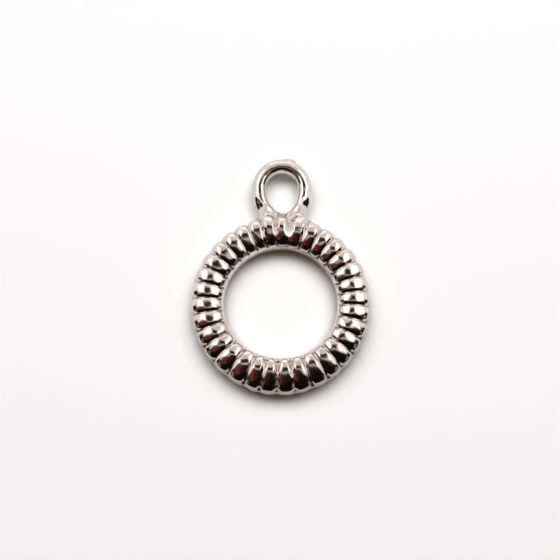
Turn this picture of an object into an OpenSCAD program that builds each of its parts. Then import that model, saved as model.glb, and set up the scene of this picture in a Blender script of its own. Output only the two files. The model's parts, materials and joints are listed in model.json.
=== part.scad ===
// Ring pendant cast in one piece: a ribbed ring and, on its rim, an egg-shaped eye to hang it by.
// It lies flat. Both faces carry the same ribs, and a smooth rim parts them, outside and inside the ring.
// Angles round the ring turn clockwise from the eye, seen from above.

/* [Ring] */
// Width over the outer rim
ring_outer_d = 15; // [14.4:0.1:16]
// Thickness of the bar that the ring is made of
bar_d = 2.76; // [2.5:0.02:2.9]
// Power of the curve of the bar's section: 2 is round, and more is squarer
bar_power = 2.4; // [2:0.1:3]
// How far the bar swells, to each side, at the bottom of the ring
bottom_swell = 0.14; // [0:0.01:0.2]
// Number of ribs round the ring
rib_count = 33; // [30:1:36]
// Depth of a valley between two ribs, on the face
valley_depth = 0.4; // [0.1:0.01:0.5]
// Half width of a valley's narrow floor
valley_half_w = 0.13; // [0.08:0.01:0.2]
// Share of the depth that the round crest of a rib takes
crest_share = 0.3; // [0.2:0.05:0.6]
// Half height of the smooth rim that parts the two faces
rim_half_h = 0.35; // [0.2:0.05:0.5]
// Height over which a valley runs out to the rim
rim_ramp_h = 0.5; // [0.3:0.05:0.7]
// Share of the depth that the rim keeps
rim_share = 0.2; // [0:0.05:0.4]
// Turn of the first rib from the middle of the eye
first_rib_turn = 0.8; // [-3:0.1:3]

/* [Eye] */
// Length over ring and eye
overall_len = 20.5; // [19.8:0.02:20.8]
// Width over the eye
eye_w = 5.18; // [4.9:0.02:5.7]
// Height of the eye's widest place above the centre of the ring
eye_mid_y = 10.12; // [9.9:0.01:10.3]
// Diameter of the eye's wire
wire_d = 1.2; // [1.1:0.02:1.3]
// Height of the eye's lowest inside point above the ring's outer rim
eye_lift = 0.45; // [0.35:0.01:0.6]
// Distance of the eye from the middle line of the ring, to the right
eye_x = 0.12; // [0:0.01:0.3]
// Further distance of the eye's foot, which leans
eye_lean = 0.1; // [0:0.01:0.3]
// Height that the casting nub stands above the eye's wire
nub_h = 0.19; // [0.1:0.01:0.25]
// Width of the casting nub
nub_w = 1.05; // [0.7:0.05:1.2]
// Turn of the casting nub from the top of the eye
nub_turn = 17; // [10:1:30]

/* [Foot] */
// Width over the foot of the eye, where it runs into the ring
foot_w = 4.5; // [4.3:0.1:5]
// Width over the eye's legs, where the foot begins
ankle_w = 3.92; // [3.7:0.02:4.1]
// Height of the ankles above the ring's outer rim
ankle_lift = 0.64; // [0.5:0.02:0.8]

/* [Hidden] */

rib_steps = [0, 0.2, 0.37, 0.5, 0.63, 0.8]; // places from one crest to the next: crest, flanks and valley
bar_sides = 24;
swell_turn = 183; // where the swelling is widest
swell_spread = 42; // turn over which it fades
wire_sides = 16;
eye_steps = 48;
foot_steps = 4;

// Gaps that came out uneven: the rib before the gap, and the extra turn of the gap in degrees
gap_rib = 0;
gap_extra = 1;
uneven_gaps = [
    [0, 0.8], [1, 0.4], [2, -0.9], [3, -0.6], [4, -0.4], [5, 0.8], [6, -0.3], [7, -0.3], [8, -0.8], [9, 0.8],
    [12, 0.8], [13, -0.4], [14, 1.2], [15, -0.4], [16, 2.2], [17, -1.7], [18, 0.9], [19, 1.5], [20, 0.8],
    [21, -0.5], [22, 0.6], [23, 0.4], [24, 0.2], [27, 0.2], [28, -0.4], [29, -0.8], [30, -1.3], [31, -0.5],
    [32, -2.2]
];
// Valleys that the metal filled in part: the rib before the valley, and the share of the depth that is left
fill_rib = 0;
fill_left = 1;
filled_valleys = [[0, 0.55], [20, 0.6], [21, 0.6]];

ring_outer_r = ring_outer_d / 2;
bar_r = bar_d / 2;
bar_mid_r = ring_outer_r - bar_r;
wire_r = wire_d / 2;
eye_half_w = eye_w / 2 - wire_r;
eye_top_half_h = overall_len - bottom_swell - ring_outer_r - wire_r - eye_mid_y;
eye_foot_half_h = eye_mid_y + wire_r - ring_outer_r - eye_lift;

// The eye's route in the plane of the ring, as an egg: t turns clockwise from its top
function eye_half_h(t) = cos(t) > 0 ? eye_top_half_h : eye_foot_half_h;
function eye_shift(t) = eye_x + (cos(t) > 0 ? 0 : eye_lean * pow(cos(t), 2));
function eye_at(t) = [eye_half_w * sin(t) + eye_shift(t), eye_mid_y + eye_half_h(t) * cos(t)];
function eye_out(t) =
    let (across = eye_half_h(t) * sin(t), along = eye_half_w * cos(t))
    [across, along] / norm([across, along]);

// The nub is an ellipsoid, half as high as it is wide, that stands on the wire
nub_half_w = nub_w / 2;
nub_half_h = nub_w / 4;
nub_at = eye_at(nub_turn) + (wire_r + nub_h - nub_half_h) * eye_out(nub_turn);
nub_top = nub_at[1] + norm([nub_half_w * sin(nub_turn), nub_half_h * cos(nub_turn)]);
// The frame's origin lies under the middle of ring, eye and nub
ring_y = (ring_outer_r + bottom_swell - nub_top) / 2;

function total(list) = len(list) == 0 ? 0 : list * [for (item = list) 1];
function extra_before(rib) = total([for (gap = uneven_gaps) if (gap[gap_rib] < rib) gap[gap_extra]]);
even_gap = (360 - extra_before(rib_count)) / rib_count;
function rib_turn(rib) = first_rib_turn + even_gap * rib + extra_before(rib);
function depth_left(rib) =
    let (found = [for (row = filled_valleys) if (row[fill_rib] == rib) row[fill_left]])
    len(found) == 0 ? 1 : found[0];

// Share of the depth at a distance from the valley's middle: a round crest, cut by a narrow valley
function valley_share(distance, half_gap) =
    crest_share * pow(1 - distance / half_gap, 2)
    + (1 - crest_share) * exp(-pow(distance / valley_half_w, 2));
// Share that is left at a height over the middle of the bar: little on the rim, all on the face
function face_share(height) =
    let (climb = min(1, max(0, (abs(height) - rim_half_h) / rim_ramp_h)))
    rim_share + (1 - rim_share) * climb * climb * (3 - 2 * climb);

// Stations round the ring: turn in degrees and depth of the relief there
stations = [
    for (rib = [0:rib_count - 1], step = rib_steps)
        let (
            gap = rib_turn(rib + 1) - rib_turn(rib),
            half_gap = bar_mid_r * gap / 2 * PI / 180,
            distance = abs(1 - 2 * step) * half_gap,
            shared = (valley_share(distance, half_gap) - valley_share(half_gap, half_gap))
        )
        [rib_turn(rib) + gap * step, valley_depth * depth_left(rib) * shared]
];

function swell_at(turn) = bottom_swell * exp(-pow((turn - swell_turn) / swell_spread, 2));

// A point of the section, as shares of its half width and half thickness: |across|^power + |up|^power = 1
function section_at(lean) = [for (share = [cos(lean), sin(lean)]) sign(share) * pow(abs(share), 2 / bar_power)];

function bar_point(station, side) =
    let (
        at = section_at(360 * side / bar_sides),
        r = bar_r - station[1] * face_share(bar_r * at[1]),
        from_middle = bar_mid_r + (r + swell_at(station[0])) * at[0]
    )
    [from_middle * sin(station[0]), from_middle * cos(station[0]), r * at[1]];

function wire_point(t, side) =
    let (lean = 360 * side / wire_sides, flat = eye_at(t) + wire_r * cos(lean) * eye_out(t))
    [flat[0], flat[1], wire_r * sin(lean)];

// Triangles of a closed tube whose points stand station by station, side by side
function tube_faces(stops, sides) = [
    for (i = [0:stops - 1], j = [0:sides - 1])
        let (
            here = i * sides, there = (i + 1) % stops * sides, next = (j + 1) % sides
        )
        each [[here + j, there + j, there + next], [here + j, there + next, here + next]]
];

module ribbed_ring()
    polyhedron(
        [for (station = stations, side = [0:bar_sides - 1]) bar_point(station, side)],
        tube_faces(len(stations), bar_sides)
    );

module eye_wire()
    polyhedron(
        [for (i = [0:eye_steps - 1], side = [0:wire_sides - 1]) wire_point(360 * i / eye_steps, side)],
        tube_faces(eye_steps, wire_sides)
    );

// One side of the eye's foot: the leg spreads along a quarter arc into the rim of the ring
module foot_fillet(side) {
    ankle_r = wire_r * 0.9;
    toe_r = wire_r * 0.7;
    ankle_x = ankle_w / 2 - ankle_r;
    toe_x = foot_w / 2 - toe_r;
    ankle_y = ring_outer_r + ankle_lift;
    toe_y = sqrt(pow(ring_outer_r, 2) - pow(toe_x, 2)) - toe_r;
    function foot_at(share) = [
        eye_x + eye_lean + side * (ankle_x + (toe_x - ankle_x) * (1 - cos(90 * share))),
        ankle_y + (toe_y - ankle_y) * sin(90 * share), 0
    ];
    for (i = [0:foot_steps - 1])
        hull()
            for (share = [i, i + 1] / foot_steps)
                translate(foot_at(share)) sphere(r = ankle_r + (toe_r - ankle_r) * share, $fn = 16);
}

module casting_nub()
    translate([nub_at[0], nub_at[1], 0])
        rotate([0, 0, -nub_turn])
            resize(2 * [nub_half_w, nub_half_h, 0.7 * nub_half_w])
                sphere(r = nub_w, $fn = 20);

module cast_pendant()
    color([0.8, 0.77, 0.74])
        translate([0, ring_y, bar_r]) {
            ribbed_ring();
            eye_wire();
            for (side = [-1, 1]) foot_fillet(side);
            casting_nub();
        }

cast_pendant();
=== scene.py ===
import json
import math

import bpy
import numpy as np
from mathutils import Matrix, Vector

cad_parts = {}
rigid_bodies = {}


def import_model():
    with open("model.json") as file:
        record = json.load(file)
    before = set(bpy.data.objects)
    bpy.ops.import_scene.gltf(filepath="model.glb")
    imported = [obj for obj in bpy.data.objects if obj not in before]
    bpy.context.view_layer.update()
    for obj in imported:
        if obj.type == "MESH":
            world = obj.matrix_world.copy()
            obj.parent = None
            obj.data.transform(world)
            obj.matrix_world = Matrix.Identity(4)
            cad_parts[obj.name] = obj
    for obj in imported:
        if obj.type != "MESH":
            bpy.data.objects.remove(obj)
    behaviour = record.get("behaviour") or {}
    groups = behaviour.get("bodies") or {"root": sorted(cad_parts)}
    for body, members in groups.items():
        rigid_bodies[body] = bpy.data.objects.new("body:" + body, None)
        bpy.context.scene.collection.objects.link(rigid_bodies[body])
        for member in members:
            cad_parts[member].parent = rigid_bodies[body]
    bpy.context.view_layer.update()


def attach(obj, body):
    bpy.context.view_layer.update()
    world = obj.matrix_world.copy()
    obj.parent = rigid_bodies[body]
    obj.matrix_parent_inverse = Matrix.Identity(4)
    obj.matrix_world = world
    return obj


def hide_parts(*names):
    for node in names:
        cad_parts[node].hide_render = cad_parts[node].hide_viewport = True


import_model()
mm = 0.001  # shapes are worked out in millimetres, and the meshes are in metres

# Where the ring lies, and its bar: |across / half width|^power + |up / half thickness|^power = 1, round at the
# top of the section and squarer towards its sides
ring = {
    "centreY": -2.6609,
    "middleZ": 1.38,
    "middleRadius": 6.12,
    "barRadius": 1.38,
    "power": (1.9, 1.2),  # at the top, and how much more at the sides
    "swell": 0.14, "swellTurn": 183.0, "swellSpread": 42.0,  # the bar widens to both sides at the bottom
    # the section's top lies outside the bar's middle line at the ring's top, and inside it at the bottom
    "crestMean": -0.034, "crestSwing": 0.412, "crestTurn": 349.6,
    "unevenness": 0.0035,
}
ringCentre = Vector((0.0, ring["centreY"], ring["middleZ"])) * mm

# Camera: above the ring, leaning a little to the near side
cameraPlace = {
    "aside": -0.05,
    "distance": 70.0,
    "elevation": 78.0,
    "aimElevation": 76.355,  # the ring's centre falls a little below the picture's
    "fieldOfView": 37.04,
}


def makeCamera(place):
    lens = bpy.data.cameras.new("studioCamera")
    lens.sensor_width = 36.0
    lens.lens = lens.sensor_width / 2 / math.tan(math.radians(place["fieldOfView"]) / 2)
    lens.clip_start = 0.001
    lens.clip_end = 10.0
    camera = bpy.data.objects.new("studioCamera", lens)
    bpy.context.collection.objects.link(camera)
    rise = math.radians(place["elevation"])
    back = Vector((place["aside"] / place["distance"], -math.cos(rise), math.sin(rise)))
    camera.location = ringCentre + back * place["distance"] * mm
    camera.rotation_euler = (math.radians(90.0 - place["aimElevation"]), 0.0, 0.0)
    bpy.context.scene.camera = camera


makeCamera(cameraPlace)
print("camera placed")

# The cast body: one skin over ring, eye, feet and nub
ribs = {
    "count": 33,
    "firstTurn": 0.8,
    "unevenGaps": [  # the rib before the gap, and the gap's extra turn in degrees
        (0, 0.8), (1, 0.4), (2, -0.9), (3, -0.6), (4, -0.4), (5, 0.8), (6, -0.3), (7, -0.3), (8, -0.8), (9, 0.8),
        (12, 0.8), (13, -0.4), (14, 1.2), (15, -0.4), (16, 2.2), (17, -1.7), (18, 0.9), (19, 1.5), (20, 0.8),
        (21, -0.5), (22, 0.6), (23, 0.4), (24, 0.2), (27, 0.2), (28, -0.4), (29, -0.8), (30, -1.3), (31, -0.5),
        (32, -2.2),
    ],
    "crestRadius": 1.9,  # how round a rib's back is
    "notchHalfWidth": 0.2,
    "notchDepth": 0.095,
    "notchRound": 0.012,  # how round the notch's crease is
    "edgeRound": 0.1,  # how round its two edges are
    # width and depth inside and outside the bar's middle line, as shares of the common ones, and the ramp between
    "commonNotch": (1.0, 1.0, 1.0, -0.35, 0.7),
    "oddNotches": [
        # gap, width, depth inside, depth outside, start and span of the ramp; the first one is a broad channel
        (0, 2.1, 0.1, 3.0, -0.75, 1.5), (31, 1.2, 0.8, 1.9, -0.6, 1.2), (32, 1.35, 0.6, 2.1, -0.6, 1.2),
        (15, 1.3, 1.4, 0.4, -0.35, 0.7), (16, 1.3, 1.4, 0.5, -0.35, 0.7), (17, 1.2, 1.2, 0.8, -0.35, 0.7),
        (20, 1.1, 1.0, 0.5, -0.35, 0.7),
    ],
    # half height of the smooth rim, how much more at the ring's bottom, the ramp's height, and the share of the
    # round backs that shows on the rim
    "outerRim": (0.25, 0.1, 0.5, 0.6),
    "innerRim": (0.4, 0.0, 0.4, 0.3),
}

# small dents where the valleys meet the outer rim, deepest towards the ring's bottom
pits = {"depth": 0.1, "halfWidth": 0.2, "height": 0.6, "halfHeight": 0.13, "ramp": (-0.4, 0.8), "waves": 23}

# painted shade: a thin broken dark line on the inner wall, and the waves that break it
shadeLine = {"height": 0.62, "halfWidth": 0.055, "turn": 40.0, "reach": 44.0, "ramp": (-0.9, 0.6), "waves": (31, 13)}

eye = {
    "halfWidth": 1.99,
    "topHalfHeight": 2.14,
    "footHalfHeight": 2.77,
    "middleY": 10.12,
    "aside": 0.12,
    "lean": 0.1,
    # search for the nearest point: half height of the ellipse that it starts from, its steps and the longest one
    "guess": 2.4, "searchSteps": 7, "stride": 0.3,
    "wireRadius": 0.6,
    "topSwell": 0.03,
    "crestIn": (0.08, 0.09),  # how far the crest lies inside the wire's middle line, and how much more at the top
    "nearX": 4.6, "nearY": 5.6,  # eye, feet, web and nub are worked out only above and between these
    "blend": 0.55,
}

# shallow dents on the outer halves of the eye's legs: lengths over which they fall and rise again down the leg,
# and the ramps outward from the wire's middle and upward
dents = {"depth": 0.14, "topY": 9.25, "fall": 1.0, "rise": 0.4, "outward": (-0.05, 0.3), "upward": (0.15, 0.3)}

feet = {
    "ankleX": 1.42, "toeX": 1.83, "ankleY": 8.14, "toeY": 6.853,
    "aside": 0.22,
    "ankleRadius": 0.54, "toeRadius": 0.6,
    "steps": 17,
    "blend": 0.3,
}

# a thin web fills the crotches between the eye and its feet; it faces the far side and the middle a little
web = {
    "height": 0.46, "fall": 0.2, "rise": 0.25,
    "aside": 0.22, "halfWidth": 1.6,
    "startY": 7.3, "endY": 6.6,
    "blend": 0.2,
}

nub = {"turn": 17.0, "halfWidth": 0.525, "halfHeight": 0.26, "thickness": 0.37, "stand": 0.19, "blend": 0.12}

# the lattice that the skin is found on; its turns crowd together in the notches
lattice = {
    "turnSteps": 660, "crowding": 0.5,
    "step": 0.094, "innerRadius": 4.5, "outerRadius": 13.2, "halfHeight": 1.6,
}
tiny = 1e-4  # keeps what is raised to a power above zero


def rampOf(value, low, span):
    # smooth step: 0 below low, 1 above low + span, 3s^2 - 2s^3 between
    share = np.clip((value - low) / span, 0.0, 1.0)
    return share * share * (3.0 - 2.0 * share)


def blendOf(first, second, reach):
    # union of two distance fields, lowered by up to reach / 4 where they are equal, as a fillet
    share = np.clip(0.5 + 0.5 * (second - first) / reach, 0.0, 1.0)
    return second + (first - second) * share - reach * share * (1.0 - share)


def crestTurns(ribs):
    # turn of each rib's crest, clockwise from the eye, and of the first one again after a full turn
    extra = np.zeros(ribs["count"])
    for rib, degrees in ribs["unevenGaps"]:
        extra[rib] = degrees
    gaps = (360.0 - extra.sum()) / ribs["count"] + extra
    return np.radians(ribs["firstTurn"] + np.concatenate([[0.0], np.cumsum(gaps)]))


crests = crestTurns(ribs)


def notchTable(ribs):
    # one row of shares for each gap
    rows = np.tile(ribs["commonNotch"], (ribs["count"], 1))
    for gap, *shares in ribs["oddNotches"]:
        rows[gap] = shares
    return rows


notches = notchTable(ribs)


def valleyAt(turn, radius):
    # depth of a rib's round back, x^2 / 2R from its crest; depth of the notch that cuts the gap's middle,
    # straight walls whose crease and edges are rounded by square roots; and distance from the gap's middle
    around = np.mod(turn - crests[0], 2 * np.pi) + crests[0]
    rib = np.clip(np.searchsorted(crests, around, side="right") - 1, 0, ribs["count"] - 1)
    gap = crests[rib + 1] - crests[rib]
    along = (around - crests[rib]) / gap
    halfGap = radius * gap / 2
    distance = np.abs(1.0 - 2.0 * along) * halfGap
    back = (halfGap - distance) ** 2 / (2 * ribs["crestRadius"])
    width, inner, outer, start, span = notches[rib].T
    share = inner + (outer - inner) * rampOf(radius - ring["middleRadius"], start, span)
    away = np.sqrt(distance ** 2 + ribs["notchRound"] ** 2) / (ribs["notchHalfWidth"] * width)
    edge = ribs["edgeRound"]
    cut = 0.5 * (1.0 - away + np.sqrt((1.0 - away) ** 2 + edge ** 2))
    cut = np.maximum(cut - 0.5 * (np.sqrt(1.0 + edge ** 2) - 1.0) * np.exp(-away), 0.0)
    return back, ribs["notchDepth"] * cut * share, distance


def faceAt(height, turn, outward):
    # share of the relief that is left at a height over the bar's middle, none on the rim and all on the face;
    # and the share of the round backs that the rim keeps
    half, more, span, backShare = np.where(outward[:, None] > 0, ribs["outerRim"], ribs["innerRim"]).T
    return rampOf(np.abs(height), half - more * np.cos(turn), span), backShare


def pitAt(turn, outward, z, distance):
    # 1 in the middle of a dent, falling off as e^-(offset / half size)^2; waves make the dents uneven
    lower = rampOf(-np.cos(turn), *pits["ramp"]) * (outward > 0) * (0.75 + 0.25 * np.sin(pits["waves"] * turn))
    away = ((np.abs(z) - pits["height"]) / pits["halfHeight"]) ** 2 + (distance / pits["halfWidth"]) ** 2
    return lower * np.exp(-away)


def shadeLineAt(turn, outward, z):
    # 1 on the line, falling off as e^-(offset / half width)^2
    away = np.abs(np.degrees(turn) - shadeLine["turn"]) / shadeLine["reach"]
    quick, slow = shadeLine["waves"]
    broken = rampOf(np.sin(quick * turn) + np.sin(slow * turn + 1.0), *shadeLine["ramp"])
    return (outward < 0) * (away < 1) * broken * np.exp(-(((z - shadeLine["height"]) / shadeLine["halfWidth"]) ** 2))


def unevenAt(x, y, z):
    # slow unevenness of the casting, 0 or more: crossed waves about a millimetre long
    waves = np.sin(5.1 * x + 2.3 * y + 1.7 * z) + np.sin(4.9 * y - 3.7 * x + 2.9 * z + 1.0)
    return ring["unevenness"] * (3.0 + waves + np.sin(7.3 * x + 6.1 * y - 4.1 * z + 2.0))


def ringField(x, y, z):
    # the bar's section curve, less the bar's radius, plus the relief's depth
    turn = np.arctan2(x, y)
    radius = np.hypot(x, y)
    outward = radius - ring["middleRadius"]
    fromSwell = np.mod(np.degrees(turn) - ring["swellTurn"] + 180.0, 360.0) - 180.0
    widen = 1.0 + ring["swell"] / ring["barRadius"] * np.exp(-((fromSwell / ring["swellSpread"]) ** 2))
    crest = ring["crestMean"] + ring["crestSwing"] * np.cos(turn - math.radians(ring["crestTurn"]))
    across = np.abs(outward - crest * (z / ring["barRadius"]) ** 4) / widen + tiny
    back, notch, distance = valleyAt(turn, radius)
    face, backShare = faceAt(z, turn, outward)
    depth = back * (backShare + (1.0 - backShare) * face) + notch * face
    depth = depth + pits["depth"] * pitAt(turn, outward, z, distance)
    power = ring["power"][0] + ring["power"][1] * np.clip(across / ring["barRadius"], 0.0, 1.0) ** 2
    section = (across ** power + (np.abs(z) + tiny) ** power) ** (1 / power)
    return section - ring["barRadius"] + depth


def eyePoint(t):
    # the egg: half ellipses of the same width above and below its middle, the lower one leaning
    cosine = np.cos(t)
    half = np.where(cosine > 0, eye["topHalfHeight"], eye["footHalfHeight"])
    shift = eye["aside"] + np.where(cosine > 0, 0.0, eye["lean"] * cosine ** 2)
    return eye["halfWidth"] * np.sin(t) + shift, eye["middleY"] + half * cosine


def eyeSlope(t):
    # the egg's direction: how fast eyePoint moves with t
    cosine, sine = np.cos(t), np.sin(t)
    half = np.where(cosine > 0, eye["topHalfHeight"], eye["footHalfHeight"])
    shift = np.where(cosine > 0, 0.0, -2 * eye["lean"] * cosine * sine)
    return eye["halfWidth"] * cosine + shift, -half * sine


def eyeField(x, y, z):
    # distance to the egg's nearest point, found by stepping t along the egg, less the wire's radius, which is
    # less in a dent; the section is a circle, bent so that its crest lies a little inside the middle line
    t = np.arctan2((x - eye["aside"]) / eye["halfWidth"], (y - eye["middleY"]) / eye["guess"])
    for _ in range(eye["searchSteps"]):
        atX, atY = eyePoint(t)
        slopeX, slopeY = eyeSlope(t)
        reach = slopeX ** 2 + slopeY ** 2
        t = t + np.clip(((x - atX) * slopeX + (y - atY) * slopeY) / reach, -eye["stride"], eye["stride"])
    atX, atY = eyePoint(t)
    slopeX, slopeY = eyeSlope(t)
    outward = ((y - atY) * slopeX - (x - atX) * slopeY) / np.hypot(slopeX, slopeY)
    top = np.clip(np.cos(t), 0, 1)
    below = dents["topY"] - y
    dent = rampOf(below, 0.0, dents["fall"]) * (1.0 - rampOf(below, dents["fall"], dents["rise"]))
    dent = dents["depth"] * dent * rampOf(outward, *dents["outward"]) * rampOf(np.abs(z), *dents["upward"])
    wire = eye["wireRadius"] + eye["topSwell"] * top - dent
    bent = np.abs(outward + (eye["crestIn"][0] + eye["crestIn"][1] * top) * (z / wire) ** 2)
    return np.hypot(bent + tiny, np.abs(z) + tiny) - wire, outward


def webField(x, y, z, outward):
    # slab of changing thickness: the largest of its distances to faces, sides and the egg's middle line
    across = np.abs(x - web["aside"])
    height = web["height"] - web["fall"] * (y - web["startY"]) + web["rise"] * across
    return np.maximum.reduce([np.abs(z) - height, across - web["halfWidth"], -outward, web["endY"] - y])


def footField(x, y, z, side):
    # distance to a quarter arc from ankle to toe, less a radius that changes evenly along it
    distances = []
    for share in np.linspace(0.0, 1.0, feet["steps"]):
        a = share * math.pi / 2
        footX = feet["aside"] + side * (feet["ankleX"] + (feet["toeX"] - feet["ankleX"]) * (1 - math.cos(a)))
        footY = feet["ankleY"] + (feet["toeY"] - feet["ankleY"]) * math.sin(a)
        radius = feet["ankleRadius"] + (feet["toeRadius"] - feet["ankleRadius"]) * share
        distances.append(np.sqrt((x - footX) ** 2 + (y - footY) ** 2 + z ** 2) - radius)
    return np.minimum.reduce(distances)


def nubField(x, y, z):
    # ellipsoid that stands on the wire: (scaled length - 1) times its smallest half axis
    t = math.radians(nub["turn"])
    atX, atY = eyePoint(np.array(t))
    outX, outY = eye["topHalfHeight"] * math.sin(t), eye["halfWidth"] * math.cos(t)
    length = math.hypot(outX, outY)
    outX, outY = outX / length, outY / length
    lift = eye["wireRadius"] + nub["stand"] - nub["halfHeight"]
    fromX, fromY = x - atX - lift * outX, y - atY - lift * outY
    across = (fromX * math.cos(t) - fromY * math.sin(t)) / nub["halfWidth"]
    along = (fromX * math.sin(t) + fromY * math.cos(t)) / nub["halfHeight"]
    scaled = np.sqrt(across ** 2 + along ** 2 + (z / nub["thickness"]) ** 2)
    return (scaled - 1.0) * nub["halfHeight"]


def bodyField(x, y, z):
    # negative inside the metal: ring, and near the eye its wire, web, feet and nub, each blended on with a fillet
    field = ringField(x, y, z)
    near = (y > eye["nearY"]) & (np.abs(x) < eye["nearX"])
    px, py, pz = x[near], y[near], z[near]
    wire, outward = eyeField(px, py, pz)
    wire = blendOf(wire, webField(px, py, pz, outward), web["blend"])
    for side in (-1, 1):
        wire = blendOf(wire, footField(px, py, pz, side), feet["blend"])
    wire = blendOf(wire, nubField(px, py, pz), nub["blend"])
    field[near] = blendOf(field[near], wire, eye["blend"])
    return field + unevenAt(x, y, z)


def slopeOf(field, points, probe=0.004):
    # central differences of the field along x, y and z
    slope = np.empty_like(points)
    for axis in range(3):
        step = np.zeros(3)
        step[axis] = probe
        ahead, behind = points + step, points - step
        slope[:, axis] = (field(*ahead.T) - field(*behind.T)) / (2 * probe)
    return slope


def netOf(field, lattice):
    # the field's zero surface on a lattice of turn, radius and height: each cell that the surface crosses
    # gets a point, the mean of the crossings on its edges, and each crossed edge joins its four cells
    # turns from crest to crest: s + crowding sin(2 pi s) / 2 pi
    steps = np.arange(lattice["turnSteps"] + 1) / lattice["turnSteps"] * ribs["count"]
    steps = steps + lattice["crowding"] * np.sin(2 * np.pi * steps) / (2 * np.pi)
    turnMarks = np.interp(steps, np.arange(ribs["count"] + 1), crests)
    turns = turnMarks[:-1]
    radii = np.arange(lattice["innerRadius"], lattice["outerRadius"], lattice["step"])
    heights = np.arange(-lattice["halfHeight"], lattice["halfHeight"] + lattice["step"] / 2, lattice["step"])
    shape = (len(turns), len(radii), len(heights))
    turnGrid, radiusGrid, heightGrid = np.meshgrid(turns, radii, heights, indexing="ij")
    x, y = radiusGrid * np.sin(turnGrid), radiusGrid * np.cos(turnGrid)
    values = field(x.ravel(), y.ravel(), heightGrid.ravel()).reshape(shape)
    inside = values < 0
    cellIds, offsets, quads, flips = [], [], [], []
    for axis in range(3):
        ahead = np.roll(values, -1, axis)
        crossed = inside != (ahead < 0)
        if axis:  # only the turn closes on itself
            crossed[tuple(slice(-1, None) if a == axis else slice(None) for a in range(3))] = False
        place = np.argwhere(crossed)
        start, end = values[crossed], ahead[crossed]
        share = start / (start - end)
        second, third = (axis + 1) % 3, (axis + 2) % 3
        corners = []
        for backSecond, backThird in ((1, 1), (0, 1), (0, 0), (1, 0)):
            cell = place.copy()
            cell[:, second] -= backSecond
            cell[:, third] -= backThird
            cell[:, 0] %= shape[0]
            ids = np.ravel_multi_index(cell.T, shape)
            offset = np.zeros((len(place), 3))
            offset[:, axis] = share
            offset[:, second] = backSecond
            offset[:, third] = backThird
            cellIds.append(ids)
            offsets.append(offset)
            corners.append(ids)
        quads.append(np.stack(corners, 1))
        flips.append(start > 0)
    cellIds, offsets = np.concatenate(cellIds), np.concatenate(offsets)
    # one point for each cell, from its place on the lattice to millimetres
    used, index = np.unique(cellIds, return_inverse=True)
    count = np.bincount(index)
    local = np.stack([np.bincount(index, offsets[:, a]) / count for a in range(3)], 1)
    at = np.stack(np.unravel_index(used, shape), 1) + local
    turn = np.interp(at[:, 0], np.arange(len(turnMarks)), turnMarks)
    radius = lattice["innerRadius"] + at[:, 1] * lattice["step"]
    height = -lattice["halfHeight"] + at[:, 2] * lattice["step"]
    points = np.stack([radius * np.sin(turn), radius * np.cos(turn), height], 1)
    faces = np.searchsorted(used, np.concatenate(quads))
    flip = np.concatenate(flips)
    faces[flip] = faces[flip][:, ::-1]
    return points, faces


def settle(field, points, faces, rounds=3, pull=0.6, leastReach=0.2, stride=0.06):
    # slides each point towards its neighbours' middle, then steps it back along the slope to the surface
    pairs = np.concatenate([faces[:, [a, (a + 1) % 4]] for a in range(4)])
    degree = np.bincount(pairs[:, 0], minlength=len(points))
    for number in range(rounds):
        if number:
            near = points[pairs[:, 1]]
            middle = np.stack([np.bincount(pairs[:, 0], near[:, a], len(points)) for a in range(3)], 1)
            points = points + pull * (middle / degree[:, None] - points)
        for _ in range(2):
            slope = slopeOf(field, points)
            reach = np.maximum((slope ** 2).sum(1), leastReach)
            points = points - slope * np.clip(field(*points.T) / reach, -stride, stride)[:, None]
    slope = slopeOf(field, points)
    return points, slope / np.linalg.norm(slope, axis=1)[:, None]


# How much darker the metal is made, from 0 to 1: a darker tone in the notches, and painted shade on the rims
darkening = {
    "notch": 0.12,
    # the rims' painted shade: turn where each is darkest, ramp over the cosine of the turn from there, least
    # darkening, height
    "outerRim": (180.0, -0.2, 0.9, 0.3, 0.65),
    "innerRim": (25.0, 0.6, 0.4, 0.15, 0.5),
    "fade": 0.35,  # how softly the rims' painted shade ends, above them and towards eye and feet
}


def darkeningOf(points):
    # darker tone of the notches and painted shade on the rims, and painted shade in the dents and along the line
    # on the inner wall; both fade where the skin leaves the ring's own
    x, y, z = points.T
    turn, radius = np.arctan2(x, y), np.hypot(x, y)
    outward = radius - ring["middleRadius"]
    back, notch, distance = valleyAt(turn, radius)
    onRing = np.clip((darkening["fade"] - np.abs(ringField(x, y, z))) / darkening["fade"], 0.0, 1.0)
    middle, low, span, least, height = np.where(outward[:, None] > 0, darkening["outerRim"], darkening["innerRim"]).T
    onRim = least + (1.0 - least) * rampOf(np.cos(turn - np.radians(middle)), low, span)
    onRim = onRim * (1.0 - rampOf(np.abs(z), height, darkening["fade"]))
    # painted shade on the rims, darkest at the outer rim's bottom and the inner rim's upper right; a darker tone
    # in the notches
    notchToneAndRimShade = np.maximum(darkening["notch"] * notch / ribs["notchDepth"], onRim) * onRing
    # painted shade in the small dents and along the line on the inner wall
    paintedShadeMarks = (pitAt(turn, outward, z, distance) + shadeLineAt(turn, outward, z)) * onRing
    return notchToneAndRimShade, paintedShadeMarks


def makeBody():
    points, faces = netOf(bodyField, lattice)
    points, normals = settle(bodyField, points, faces)
    mesh = bpy.data.meshes.new("castPendant")
    placed = (points + np.array([0.0, ring["centreY"], ring["middleZ"]])) * mm
    mesh.from_pydata(placed.tolist(), [], faces.tolist())
    mesh.update()
    mesh.polygons.foreach_set("use_smooth", np.ones(len(faces), dtype=bool))
    for name, values in zip(("notchToneAndRimShade", "paintedShadeMarks"), darkeningOf(points)):
        mesh.attributes.new(name, "FLOAT", "POINT").data.foreach_set("value", values.astype(np.float32))
    mesh.normals_split_custom_set_from_vertices(normals.tolist())
    body = bpy.data.objects.new("castPendant", mesh)
    bpy.context.collection.objects.link(body)
    print("cast body:", len(points), "points,", 2 * len(faces), "triangles")
    return body


body = makeBody()
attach(body, "root")
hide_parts("cast_pendant")
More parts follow.
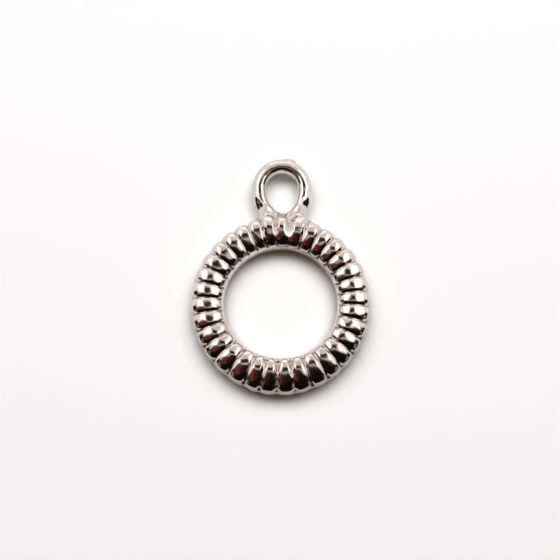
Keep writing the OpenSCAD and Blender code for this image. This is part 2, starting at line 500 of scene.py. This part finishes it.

# Finish: bright metal, darker in the notches, with painted shade on the rims, in the small dents and along a line
# on the inner wall
finish = {
    "metal": (0.70, 0.655, 0.615, 1.0),
    "shaded": (0.65, 0.6, 0.555, 1.0),
    # colour of the notches' darker tone and of the rims' painted shade
    "notchToneAndRimShadeColour": (0.36, 0.29, 0.235, 1.0),
    # colour of the painted shade in the dents and along the inner line
    "paintedShadeMarks": (0.07, 0.045, 0.03, 1.0),
    # clouds a millimetre or two across vary tone and gloss, and a fine grain breaks the mirror a little
    "cloudScale": 700.0, "cloudDetail": 2.0, "cloudRange": (0.35, 0.65),
    "roughness": (0.09, 0.14),
    "grainScale": 2600.0, "grainDetail": 1.0, "grainHeight": 0.000004,
}


def addNode(tree, kind, **settings):
    node = tree.nodes.new(kind)
    for name, value in settings.items():
        setattr(node, name, value)
    return node


def linkAll(tree, pairs):
    for source, target in pairs:
        tree.links.new(source, target)


def makeMetal(finish):
    material = bpy.data.materials.new("polishedCastMetal")
    material.use_nodes = True
    tree = material.node_tree
    tree.nodes.clear()
    output = addNode(tree, "ShaderNodeOutputMaterial")
    shader = addNode(tree, "ShaderNodeBsdfPrincipled")
    shader.inputs["Metallic"].default_value = 1.0
    place = addNode(tree, "ShaderNodeTexCoord")
    clouds = addNode(tree, "ShaderNodeTexNoise")
    clouds.inputs["Scale"].default_value = finish["cloudScale"]
    clouds.inputs["Detail"].default_value = finish["cloudDetail"]
    spread = addNode(tree, "ShaderNodeMapRange")
    spread.inputs["From Min"].default_value, spread.inputs["From Max"].default_value = finish["cloudRange"]
    gloss = addNode(tree, "ShaderNodeMapRange")
    gloss.inputs["To Min"].default_value, gloss.inputs["To Max"].default_value = finish["roughness"]
    grain = addNode(tree, "ShaderNodeTexNoise")
    grain.inputs["Scale"].default_value = finish["grainScale"]
    grain.inputs["Detail"].default_value = finish["grainDetail"]
    bump = addNode(tree, "ShaderNodeBump")
    bump.inputs["Distance"].default_value = finish["grainHeight"]
    notchToneAndRimShade = addNode(tree, "ShaderNodeAttribute", attribute_name="notchToneAndRimShade")
    paintedShadeMarks = addNode(tree, "ShaderNodeAttribute", attribute_name="paintedShadeMarks")
    shades = [addNode(tree, "ShaderNodeMix", data_type="RGBA") for _ in range(3)]
    shades[0].inputs[6].default_value = finish["metal"]
    for mix, name in zip(shades, ("shaded", "notchToneAndRimShadeColour", "paintedShadeMarks")):
        mix.inputs[7].default_value = finish[name]
    linkAll(tree, [
        (place.outputs["Object"], clouds.inputs["Vector"]), (place.outputs["Object"], grain.inputs["Vector"]),
        (clouds.outputs["Fac"], spread.inputs["Value"]), (spread.outputs["Result"], gloss.inputs["Value"]),
        (spread.outputs["Result"], shades[0].inputs[0]), (notchToneAndRimShade.outputs["Fac"], shades[1].inputs[0]),
        (paintedShadeMarks.outputs["Fac"], shades[2].inputs[0]),
        (shades[0].outputs[2], shades[1].inputs[6]), (shades[1].outputs[2], shades[2].inputs[6]),
        (shades[2].outputs[2], shader.inputs["Base Color"]),
        (gloss.outputs["Result"], shader.inputs["Roughness"]),
        (grain.outputs["Fac"], bump.inputs["Height"]), (bump.outputs["Normal"], shader.inputs["Normal"]),
        (shader.outputs["BSDF"], output.inputs["Surface"]),
    ])
    return material


body.data.materials.append(makeMetal(finish))
print("metal made")

# Floor: pale paper, with a painted contact shadow, warmer and darker, where the metal all but touches it
paleFloor = {
    "halfSize": 0.12,
    "paper": (0.93, 0.93, 0.93, 1.0),
    # colour of the painted contact shadow
    "paintedContactShade": (0.40, 0.24, 0.16, 1.0),
    "contactReach": 0.0008,  # how far from the metal the shade of contact reaches
}


def makeFloor(paleFloor):
    half = paleFloor["halfSize"]
    mesh = bpy.data.meshes.new("paleFloor")
    mesh.from_pydata([(-half, -half, 0), (half, -half, 0), (half, half, 0), (-half, half, 0)], [], [(0, 1, 2, 3)])
    floor = bpy.data.objects.new("paleFloor", mesh)
    bpy.context.collection.objects.link(floor)
    material = bpy.data.materials.new("palePaper")
    material.use_nodes = True
    tree = material.node_tree
    shader = tree.nodes["Principled BSDF"]
    shader.inputs["Roughness"].default_value = 0.9
    shader.inputs["Specular IOR Level"].default_value = 0.0
    near = addNode(tree, "ShaderNodeAmbientOcclusion", samples=8)
    near.inputs["Distance"].default_value = paleFloor["contactReach"]
    tone = addNode(tree, "ShaderNodeMix", data_type="RGBA")
    tone.inputs[6].default_value = paleFloor["paintedContactShade"]
    tone.inputs[7].default_value = paleFloor["paper"]
    linkAll(tree, [(near.outputs["AO"], tone.inputs[0]), (tone.outputs[2], shader.inputs["Base Color"])])
    mesh.materials.append(material)


makeFloor(paleFloor)
print("floor laid")

# Studio: what the metal mirrors, and the lamps that light the floor
# Each panel of soft light is a box in a flat chart of the sky: straight up is the middle, the far side is up,
# and the distance from the middle is the angle from straight up in degrees. Later panels lie over earlier ones.
sky = {
    "dark": (0.006, 0.0045, 0.004, 1.0),
    "wall": (0.8, 0.79, 0.78, 1.0),  # what a low view sees past the floor's edge, in place of the panels
    "panels": [
        # name, across from and to, up from and to, softness, colour
        ("darkRedNear", -30, 2, -27, -10, 4, (0.05, 0.01, 0.011)),
        ("rightSheen", 50, 68, -46, -18, 5, (0.30, 0.25, 0.235)),
        ("leftSheen", -68, -50, -46, -18, 5, (0.30, 0.25, 0.235)),
        ("ceiling", -50, 50, -8, 60, 3, (0.84, 0.75, 0.71)),
        ("farBeige", -50, 50, 54, 130, 5, (1.08, 1.0, 0.96)),
        ("farWindow", -34, 34, 60, 82, 6, (1.55, 1.47, 1.42)),
        ("rightWall", 23, 50, -6, 130, 4, (1.1, 1.02, 0.99)),
        ("leftWall", -50, -23, -3, 130, 4, (1.15, 1.07, 1.04)),
        ("rightEnd", 46, 130, 7, 130, 4, (1.1, 1.0, 0.97)),
        ("leftEnd", -130, -46, 7, 130, 4, (1.08, 0.98, 0.95)),
        ("rightWindow", 24, 46, -3, 46, 4, (2.2, 2.1, 2.03)),
        ("leftWindow", -46, -24, 1, 46, 4, (2.0, 1.92, 1.86)),
        ("warmGlowNear", -42, -17, -30, -2, 4, (0.15, 0.037, 0.027)),
        ("cameraDot", -18, 18, -3, 24, 5, (0.03, 0.027, 0.025)),
    ],
}


def makePanelGroup():
    # mask of a soft-edged box: smooth steps of |across - middle| and |up - middle|, multiplied
    group = bpy.data.node_groups.new("softPanel", "ShaderNodeTree")
    for name in ("Across", "Up", "Across Middle", "Across Half", "Up Middle", "Up Half", "Softness"):
        group.interface.new_socket(name, in_out="INPUT", socket_type="NodeSocketFloat")
    group.interface.new_socket("Mask", in_out="OUTPUT", socket_type="NodeSocketFloat")
    inside = addNode(group, "NodeGroupInput")
    outside = addNode(group, "NodeGroupOutput")
    product = addNode(group, "ShaderNodeMath", operation="MULTIPLY")
    for number, axis in enumerate(("Across", "Up")):
        away = addNode(group, "ShaderNodeMath", operation="SUBTRACT")
        size = addNode(group, "ShaderNodeMath", operation="ABSOLUTE")
        wide = addNode(group, "ShaderNodeMath", operation="ADD")
        narrow = addNode(group, "ShaderNodeMath", operation="SUBTRACT")
        step = addNode(group, "ShaderNodeMapRange", interpolation_type="SMOOTHSTEP")
        linkAll(group, [
            (inside.outputs[axis], away.inputs[0]), (inside.outputs[axis + " Middle"], away.inputs[1]),
            (away.outputs[0], size.inputs[0]),
            (inside.outputs[axis + " Half"], wide.inputs[0]), (inside.outputs["Softness"], wide.inputs[1]),
            (inside.outputs[axis + " Half"], narrow.inputs[0]), (inside.outputs["Softness"], narrow.inputs[1]),
            (size.outputs[0], step.inputs["Value"]), (wide.outputs[0], step.inputs["From Min"]),
            (narrow.outputs[0], step.inputs["From Max"]), (step.outputs["Result"], product.inputs[number]),
        ])
    linkAll(group, [(product.outputs[0], outside.inputs["Mask"])])
    return group


def makeWorld(sky):
    # across and up are the angle from straight up times the sine and cosine of the direction's turn
    world = bpy.data.worlds.new("softStudio")
    bpy.context.scene.world = world
    world.use_nodes = True
    tree = world.node_tree
    tree.nodes.clear()
    output = addNode(tree, "ShaderNodeOutputWorld")
    background = addNode(tree, "ShaderNodeBackground")
    direction = addNode(tree, "ShaderNodeTexCoord")
    parts = addNode(tree, "ShaderNodeSeparateXYZ")
    lean, degrees, turn, sine, cosine, across, up = [
        addNode(tree, "ShaderNodeMath", operation=name)
        for name in ("ARCCOSINE", "DEGREES", "ARCTAN2", "SINE", "COSINE", "MULTIPLY", "MULTIPLY")
    ]
    linkAll(tree, [
        (direction.outputs["Generated"], parts.inputs[0]),
        (parts.outputs["Z"], lean.inputs[0]), (lean.outputs[0], degrees.inputs[0]),
        (parts.outputs["X"], turn.inputs[0]), (parts.outputs["Y"], turn.inputs[1]),
        (turn.outputs[0], sine.inputs[0]), (turn.outputs[0], cosine.inputs[0]),
        (sine.outputs[0], across.inputs[0]), (degrees.outputs[0], across.inputs[1]),
        (cosine.outputs[0], up.inputs[0]), (degrees.outputs[0], up.inputs[1]),
        (background.outputs[0], output.inputs["Surface"]),
    ])
    dark = addNode(tree, "ShaderNodeRGB")
    dark.outputs[0].default_value = sky["dark"]
    shade = dark.outputs[0]
    panelGroup = makePanelGroup()
    for name, left, right, low, high, softness, colour in sky["panels"]:
        panel = addNode(tree, "ShaderNodeGroup", node_tree=panelGroup, name=name, label=name)
        mix = addNode(tree, "ShaderNodeMix", data_type="RGBA")
        panel.inputs["Across Middle"].default_value = (left + right) / 2
        panel.inputs["Across Half"].default_value = (right - left) / 2
        panel.inputs["Up Middle"].default_value = (low + high) / 2
        panel.inputs["Up Half"].default_value = (high - low) / 2
        panel.inputs["Softness"].default_value = softness
        mix.inputs[7].default_value = (*colour, 1.0)
        linkAll(tree, [(across.outputs[0], panel.inputs["Across"]), (up.outputs[0], panel.inputs["Up"]),
                       (panel.outputs["Mask"], mix.inputs[0]), (shade, mix.inputs[6])])
        shade = mix.outputs[2]
    rays = addNode(tree, "ShaderNodeLightPath")
    wall = addNode(tree, "ShaderNodeMix", data_type="RGBA")
    wall.inputs[7].default_value = sky["wall"]
    linkAll(tree, [(rays.outputs["Is Camera Ray"], wall.inputs[0]), (shade, wall.inputs[6]),
                   (wall.outputs[2], background.inputs["Color"])])
    world.cycles_visibility.diffuse = False  # the lamps light the floor
    world.cycles.sampling_method = "MANUAL"
    world.cycles.sample_map_resolution = 512


makeWorld(sky)

lamps = [
    # name, azimuth from the far side, elevation, distance, size, power, colour
    ("rightWindow", 50.0, 64.0, 0.28, 0.15, 0.355, (0.96, 0.985, 1.0)),
    ("leftWindow", -50.0, 62.0, 0.28, 0.15, 0.285, (0.96, 0.985, 1.0)),
    ("farWindow", 0.0, 66.0, 0.28, 0.15, 0.25, (0.96, 0.985, 1.0)),
    ("ceilingGlow", 0.0, 80.0, 0.4, 0.5, 0.30, (1.0, 0.66, 0.54)),
]


def makeLamps(lamps):
    # square lamps that look at the ring and show in no reflection
    for name, azimuth, elevation, distance, size, power, colour in lamps:
        light = bpy.data.lights.new(name, "AREA")
        light.shape = "SQUARE"
        light.size = size
        light.energy = power
        light.color = colour
        lamp = bpy.data.objects.new(name, light)
        bpy.context.collection.objects.link(lamp)
        turn, rise = math.radians(azimuth), math.radians(elevation)
        toward = Vector((math.sin(turn) * math.cos(rise), math.cos(turn) * math.cos(rise), math.sin(rise)))
        lamp.location = ringCentre + toward * distance
        lamp.rotation_euler = toward.to_track_quat("Z", "Y").to_euler()
        lamp.visible_glossy = False
        lamp.visible_camera = False


makeLamps(lamps)
bpy.context.scene.view_settings.view_transform = "Standard"
print("studio made")
